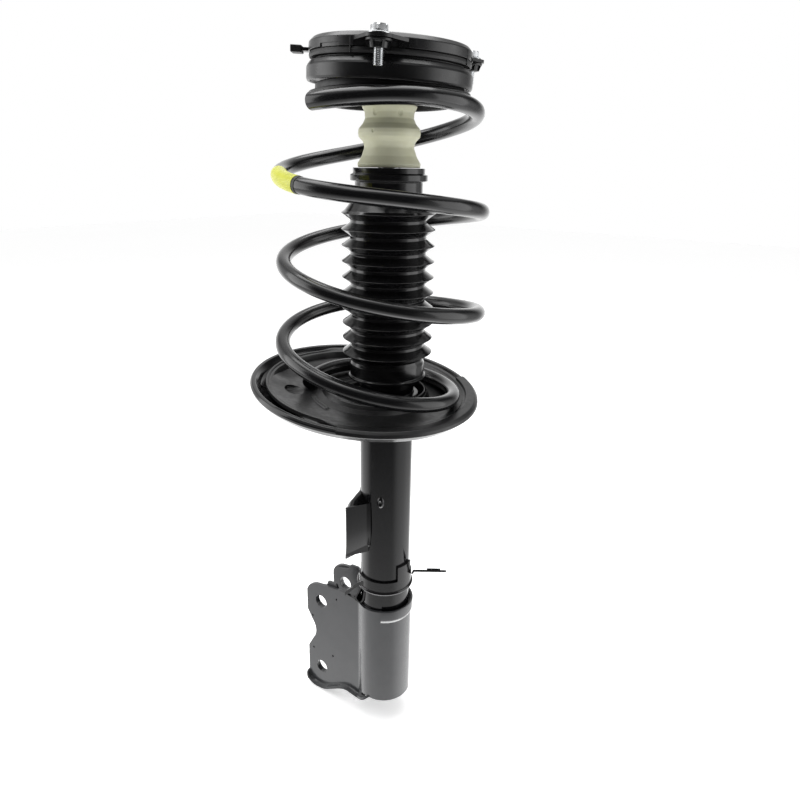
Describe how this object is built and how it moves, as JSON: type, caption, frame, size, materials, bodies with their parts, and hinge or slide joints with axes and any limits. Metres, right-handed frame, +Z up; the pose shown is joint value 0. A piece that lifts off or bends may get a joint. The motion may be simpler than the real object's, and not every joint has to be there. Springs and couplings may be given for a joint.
{
  "type": "suspension strut assembly",
  "caption": "Front suspension strut: damper tube with knuckle bracket, coil spring between seats, boot, bump stop and bolted top mount.",
  "frame": {"origin": "centre of the strut tube's bottom face, on the damper's axis", "axes": "+Z up the damper's axis to the top mount; the knuckle flanges reach towards -X and their faces are square to Y"},
  "size_m": [0.213, 0.212, 0.6801],
  "materials": {
    "black_paint": "gloss",
    "grey_paint": "satin",
    "mount_paint": "satin",
    "rubber": "matte",
    "boot_rubber": "satin",
    "urethane": "matte",
    "zinc": "bright",
    "chrome": "polished",
    "steel": "machined",
    "bronze": "machined",
    "plastic": "matte",
    "yellow_wrap": "matte"
  },
  "bodies": {
    "top_mount": {"mount_plate": "mount_paint", "mount_rubber": "rubber", "bearing_upper_race": "steel", "mount_bolt_1": "zinc", "mount_bolt_2": "zinc", "mount_bolt_3": "zinc", "mount_nut_1": "mount_paint", "mount_nut_2": "mount_paint", "mount_nut_3": "mount_paint"},
    "ball_cage": {"bearing_cage": "plastic"},
    "upper_strut": {"upper_spring_seat": "mount_paint", "bearing_lower_race": "steel", "upper_isolator": "rubber", "coil_spring": "black_paint", "colour_band": "yellow_wrap", "bump_stop": "urethane", "dust_boot": "boot_rubber", "piston_rod": "chrome", "rod_washer": "zinc", "rod_nut": "zinc", "rebound_stop": "rubber", "piston": "steel", "piston_ring": "plastic", "piston_nut": "zinc"},
    "lower_strut": {"strut_tube": "black_paint", "tube_foot": "grey_paint", "inner_cylinder": "steel", "base_valve": "steel", "rod_guide": "steel", "guide_bush": "bronze", "oil_seal": "rubber", "bump_cap": "grey_paint", "lower_spring_seat": "black_paint", "lower_spring_pad": "rubber", "knuckle_bracket": "grey_paint", "knuckle_liner": "grey_paint", "stabiliser_bracket": "black_paint", "hose_bracket": "black_paint"}
  },
  "joints": [
    {"name": "steering_bearing", "type": "hinge", "parent": "top_mount", "child": "upper_strut", "pos_m": [0, 0, 0.62], "axis": [0.0523, 0, 0.9986], "range_deg": [-40, 40]},
    {"name": "cage_turn", "type": "hinge", "parent": "top_mount", "child": "ball_cage", "pos_m": [0, 0, 0.62], "axis": [0.0523, 0, 0.9986], "range_deg": [-20, 20]},
    {"name": "damper_stroke", "type": "slide", "parent": "upper_strut", "child": "lower_strut", "axis": [0, 0, 1], "range_m": [0, 0.12], "deforming": ["coil_spring", "colour_band", "dust_boot"]}
  ],
  "couplings": [
    {"joint": "cage_turn", "follows": "steering_bearing", "ratio": 0.5}
  ]
}
